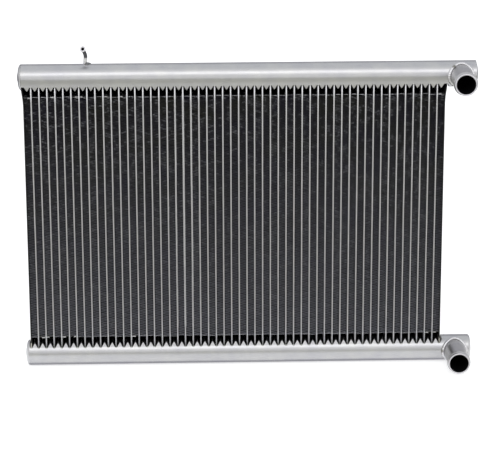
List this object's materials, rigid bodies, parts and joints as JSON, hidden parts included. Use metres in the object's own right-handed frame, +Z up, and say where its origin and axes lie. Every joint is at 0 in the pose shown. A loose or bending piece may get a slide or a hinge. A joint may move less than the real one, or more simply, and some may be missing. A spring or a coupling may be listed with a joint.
{
  "type": "engine radiator",
  "caption": "All-aluminium engine radiator: upright flat tubes and folded fins between two round toothed tank tubes, with a hose neck on each tank and a small bent vent pipe.",
  "frame": {"origin": "on the lower tank's lowest line, at the middle of the core's width, where the vehicle's padded cradle carries it", "axes": "+X along the tanks towards the end with the hose necks, -Y towards the front that the necks point to, +Z up towards the tank with the vent pipe"},
  "size_m": [0.5795, 0.081, 0.425],
  "materials": {
    "tank": "bright drawn tube",
    "neck": "satin drawn tube with weld beads",
    "vent": "satin drawn tube with a weld blob",
    "tube": "plain satin",
    "fin": "dark coated sheet",
    "side_plate": "dark coated sheet, bare at its ends"
  },
  "bodies": {
    "root": {"upper_tank": "tank", "lower_tank": "tank", "upper_neck": "neck", "lower_neck": "neck", "vent_pipe": "vent", "side_plate_left": "side_plate", "side_plate_right": "side_plate", "fin_strip_left": "fin", "tube_01_with_fins": "tube", "tube_02_with_fins": "tube", "tube_03_with_fins": "tube", "tube_04_with_fins": "tube", "tube_05_with_fins": "tube", "tube_06_with_fins": "tube", "tube_07_with_fins": "tube", "tube_08_with_fins": "tube", "tube_09_with_fins": "tube", "tube_10_with_fins": "tube", "tube_11_with_fins": "tube", "tube_12_with_fins": "tube", "tube_13_with_fins": "tube", "tube_14_with_fins": "tube", "tube_15_with_fins": "tube", "tube_16_with_fins": "tube", "tube_17_with_fins": "tube", "tube_18_with_fins": "tube", "tube_19_with_fins": "tube", "tube_20_with_fins": "tube", "tube_21_with_fins": "tube", "tube_22_with_fins": "tube", "tube_23_with_fins": "tube", "tube_24_with_fins": "tube", "tube_25_with_fins": "tube", "tube_26_with_fins": "tube", "tube_27_with_fins": "tube", "tube_28_with_fins": "tube", "tube_29_with_fins": "tube", "tube_30_with_fins": "tube", "tube_31_with_fins": "tube", "tube_32_with_fins": "tube", "tube_33_with_fins": "tube", "tube_34_with_fins": "tube", "tube_35_with_fins": "tube", "tube_36_with_fins": "tube", "tube_37_with_fins": "tube", "tube_38_with_fins": "tube", "tube_39_with_fins": "tube", "tube_40_with_fins": "tube", "tube_41_with_fins": "tube", "tube_42_with_fins": "tube", "tube_43_with_fins": "tube", "tube_44_with_fins": "tube", "tube_45_with_fins": "tube", "tube_46_with_fins": "tube", "tube_47_with_fins": "tube", "tube_48_with_fins": "tube", "tube_49_with_fins": "tube", "tube_50_with_fins": "tube", "tube_51_with_fins": "tube", "tube_52_with_fins": "tube"}
  },
  "joints": []
}
